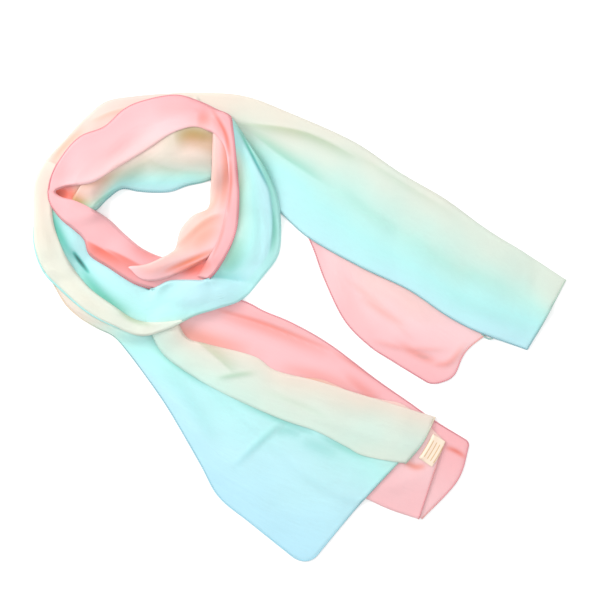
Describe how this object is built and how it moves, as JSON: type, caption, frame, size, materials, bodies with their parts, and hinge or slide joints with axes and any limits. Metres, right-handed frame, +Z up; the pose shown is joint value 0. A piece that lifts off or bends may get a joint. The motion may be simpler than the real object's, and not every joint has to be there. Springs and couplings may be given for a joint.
{
  "type": "chiffon scarf",
  "caption": "Light pastel striped chiffon scarf laid flat: a long strip wound into a loose ring with two folded tails running out to one side.",
  "frame": {"origin": "middle of the scarf's outline, on the surface it lies on", "axes": "+Z up from the surface, +X along the widest way with the tails, +Y towards the back of the ring"},
  "size_m": [0.4808, 0.4268, 0.0291],
  "materials": {
    "pink_chiffon": "sheer matt polyester chiffon",
    "cream_chiffon": "sheer matt polyester chiffon",
    "aqua_chiffon": "sheer matt polyester chiffon",
    "woven_label": "woven satin tape"
  },
  "bodies": {
    "root": {"tail_2_folded": "aqua_chiffon", "back_hidden_layers": "cream_chiffon", "back_outer_layer": "cream_chiffon", "left_hidden_layers": "cream_chiffon", "left_outer_layer": "cream_chiffon", "tail_1_folded": "pink_chiffon", "tail_1_aqua_panel": "aqua_chiffon", "label": "woven_label", "left_turn": "pink_chiffon", "near_hidden_layers": "pink_chiffon", "near_pink_band": "pink_chiffon", "far_hidden_layers": "pink_chiffon", "far_aqua_band": "aqua_chiffon", "far_pink_band": "pink_chiffon", "front_hidden_layers": "aqua_chiffon", "front_aqua_band": "aqua_chiffon", "right_hidden_layers": "aqua_chiffon", "right_peach_band": "cream_chiffon", "right_aqua_band": "aqua_chiffon", "right_pink_ridge": "pink_chiffon"}
  },
  "joints": []
}
